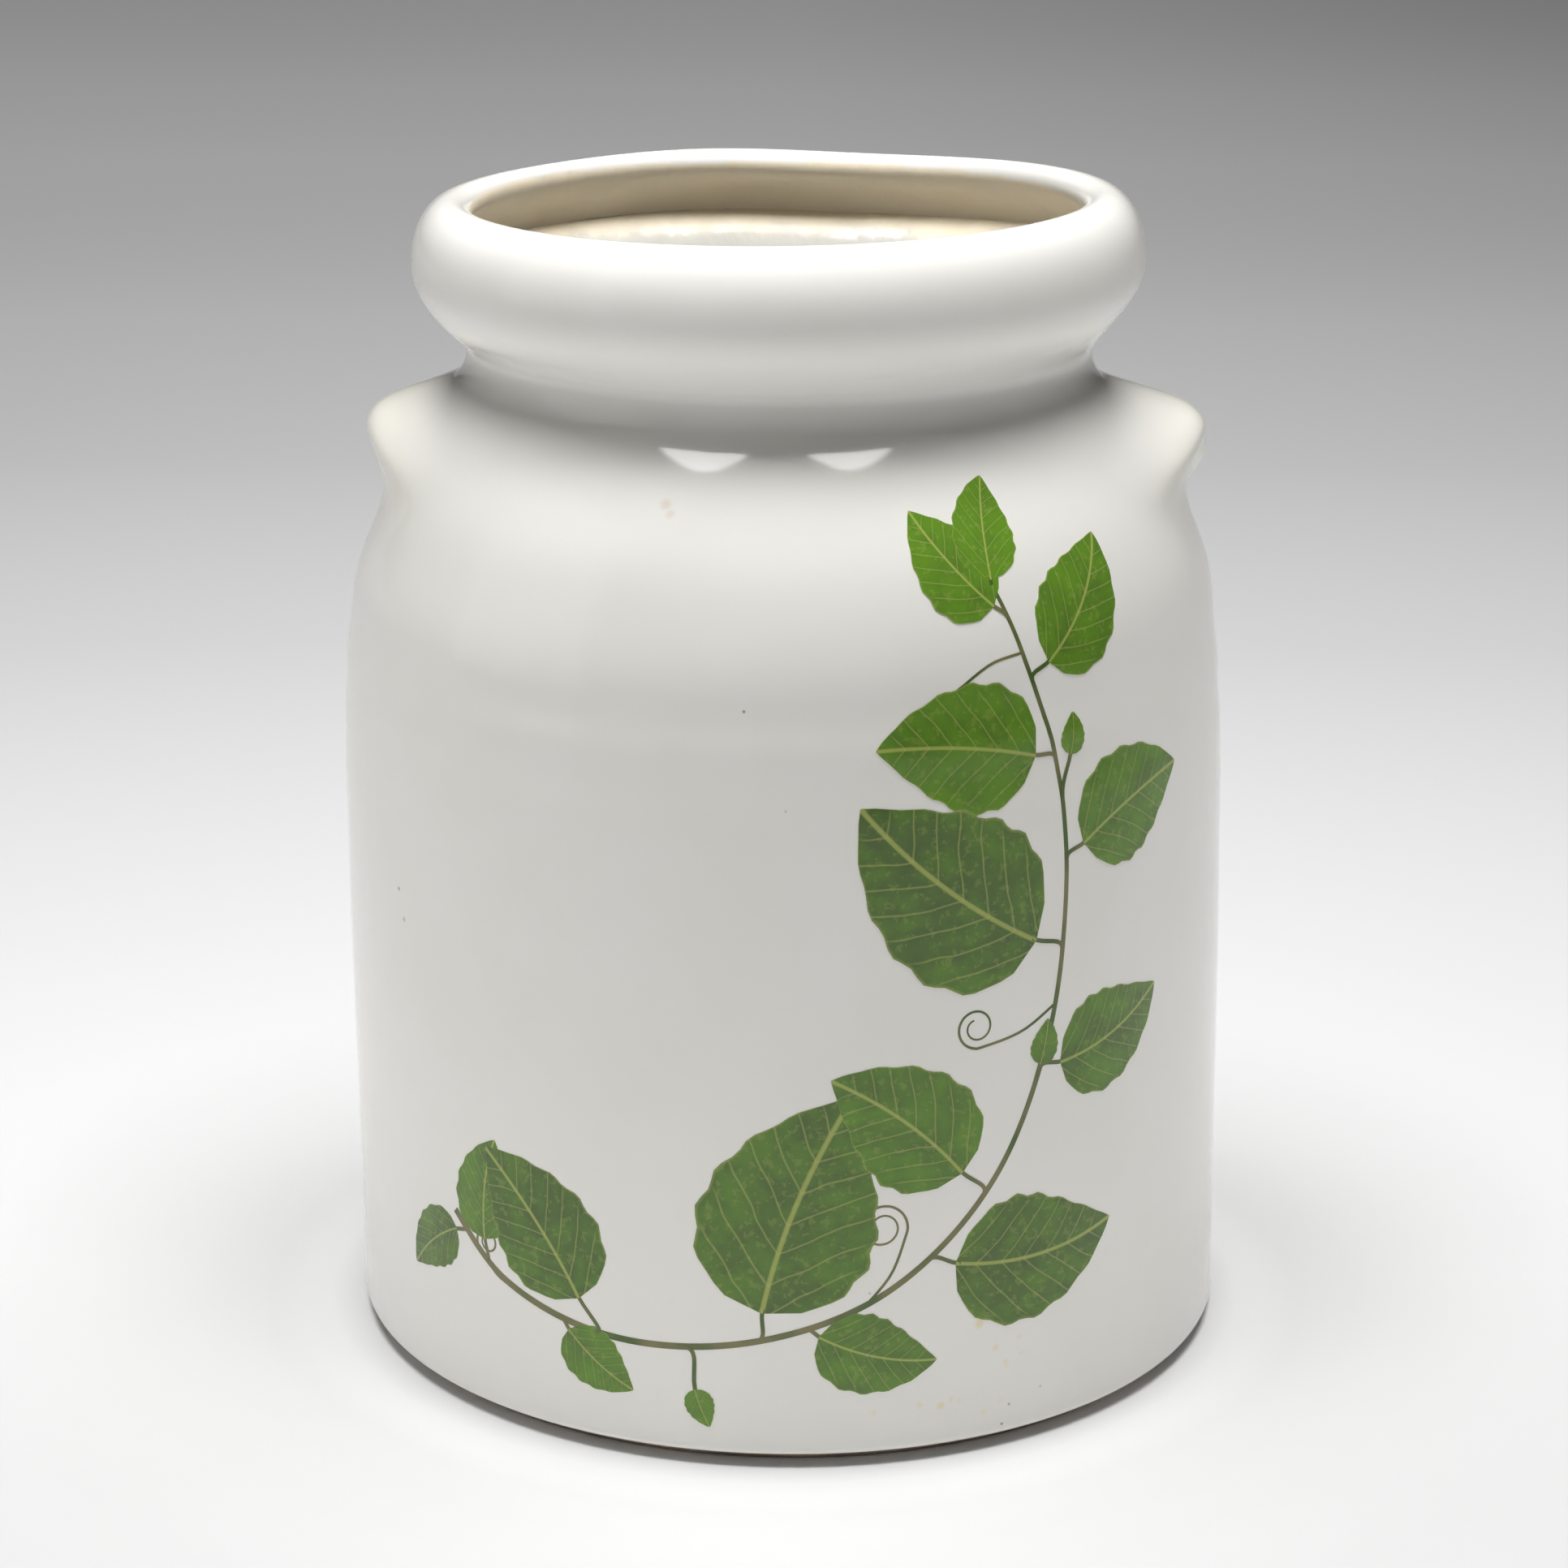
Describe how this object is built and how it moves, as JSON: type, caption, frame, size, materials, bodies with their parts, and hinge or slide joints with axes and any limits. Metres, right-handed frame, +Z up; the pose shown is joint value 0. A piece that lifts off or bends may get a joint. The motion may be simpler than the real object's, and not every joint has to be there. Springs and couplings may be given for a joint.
{
  "type": "ceramic crock",
  "caption": "Straight-sided glazed crock with a rounded shoulder, short neck, thick hollow rolled rim and small lug ears, standing on a low unglazed foot ring.",
  "frame": {"origin": "middle of the face that the crock stands on", "axes": "+Z up along the crock's axis, +X towards one ear, -Y towards the printed front"},
  "size_m": [0.1797, 0.1784, 0.2315],
  "materials": {
    "white_glaze": "glossy white glaze",
    "inner_glaze": "glossy cream glaze",
    "bare_foot": "unglazed fired clay"
  },
  "bodies": {
    "root": {"foot_ring": "bare_foot", "floor_disc": "inner_glaze", "body_wall": "white_glaze", "shoulder": "white_glaze", "neck_collar": "white_glaze", "rolled_rim": "white_glaze", "ear_right": "white_glaze", "ear_left": "white_glaze"}
  },
  "joints": []
}
